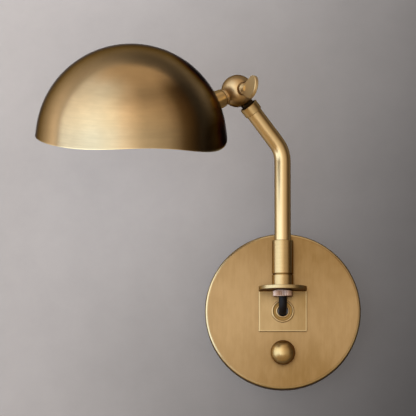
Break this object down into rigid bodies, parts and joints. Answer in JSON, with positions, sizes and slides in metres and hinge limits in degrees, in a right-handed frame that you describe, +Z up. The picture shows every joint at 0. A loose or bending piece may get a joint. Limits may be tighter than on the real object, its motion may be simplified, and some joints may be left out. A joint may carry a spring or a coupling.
{
  "type": "wall lamp",
  "caption": "Swing-arm wall lamp with a round backplate, L bracket, bent tube arm, ball joint with wing screw, wavy-rimmed dome shade and dimmer knob.",
  "frame": {"origin": "middle of the backplate, on the wall's surface, between the two box screws", "axes": "+X to the right for someone who faces the wall, +Y into the wall, +Z up"},
  "size_m": [0.2619, 0.1649, 0.2734],
  "materials": {
    "aged_brass": "satin, aged",
    "dark_brass": "dark patina",
    "bronze": "satin, knurled",
    "zinc_steel": "zinc plated",
    "green_screw": "green passivated",
    "black_cable": "matte sheath",
    "dark_washer": "matte",
    "dimmer_case": "moulded",
    "socket_body": "moulded phenolic",
    "shell_brass": "bright pressed",
    "lead_white": "wire insulation"
  },
  "bodies": {
    "wall_base": {"backplate": "aged_brass", "backplate_screws": "aged_brass", "mounting_strap": "zinc_steel", "ground_screw": "green_screw", "bracket": "aged_brass", "bracket_screws": "zinc_steel", "cable_bushing": "aged_brass", "bushing_nut": "zinc_steel", "supply_cable": "black_cable", "knurled_nut": "bronze", "lock_washer": "zinc_steel", "hollow_stem": "zinc_steel", "lower_collar": "aged_brass", "swivel_washer": "dark_washer", "stem_retainer": "zinc_steel", "dimmer_body": "dimmer_case", "dimmer_nut": "zinc_steel"},
    "knob": {"dimmer_shaft": "zinc_steel", "dimmer_knob": "aged_brass", "knob_screw": "zinc_steel"},
    "arm": {"arm_sleeve": "aged_brass", "arm_tube": "aged_brass", "arm_cable": "black_cable", "top_collar": "aged_brass", "knuckle_tongue": "dark_brass"},
    "ball": {"ball_body": "aged_brass", "friction_washers": "dark_washer", "swivel_screw": "zinc_steel"},
    "wing": {"wing_screw": "aged_brass"},
    "head": {"shade_neck": "aged_brass", "shade": "aged_brass", "shade_washer": "zinc_steel", "shade_nut": "zinc_steel", "socket_cup": "aged_brass", "lamp_socket": "socket_body", "screw_shell": "shell_brass", "centre_contact": "shell_brass", "socket_leads": "lead_white"}
  },
  "joints": [
    {"name": "arm_swing", "type": "hinge", "parent": "wall_base", "child": "arm", "pos_m": [0, -0.0315, 0], "axis": [0, 0, 1], "range_deg": [-4, 134]},
    {"name": "shade_tilt", "type": "hinge", "parent": "arm", "child": "ball", "pos_m": [-0.03652, -0.04853, 0.17719], "axis": [0.4226, -0.9063, 0], "range_deg": [-60, 35]},
    {"name": "wing_turn", "type": "hinge", "parent": "ball", "child": "wing", "pos_m": [-0.03652, -0.04853, 0.17719], "axis": [0.4226, -0.9063, 0], "range_deg": [0, 180]},
    {"name": "shade_turn", "type": "hinge", "parent": "ball", "child": "head", "pos_m": [-0.03652, -0.04853, 0.17719], "axis": [-0.8204, -0.3826, -0.425], "range_deg": [-30, 60]},
    {"name": "dimmer_turn", "type": "hinge", "parent": "wall_base", "child": "knob", "pos_m": [0, -0.019, -0.034], "axis": [0, 1, 0], "range_deg": [0, 270]}
  ]
}
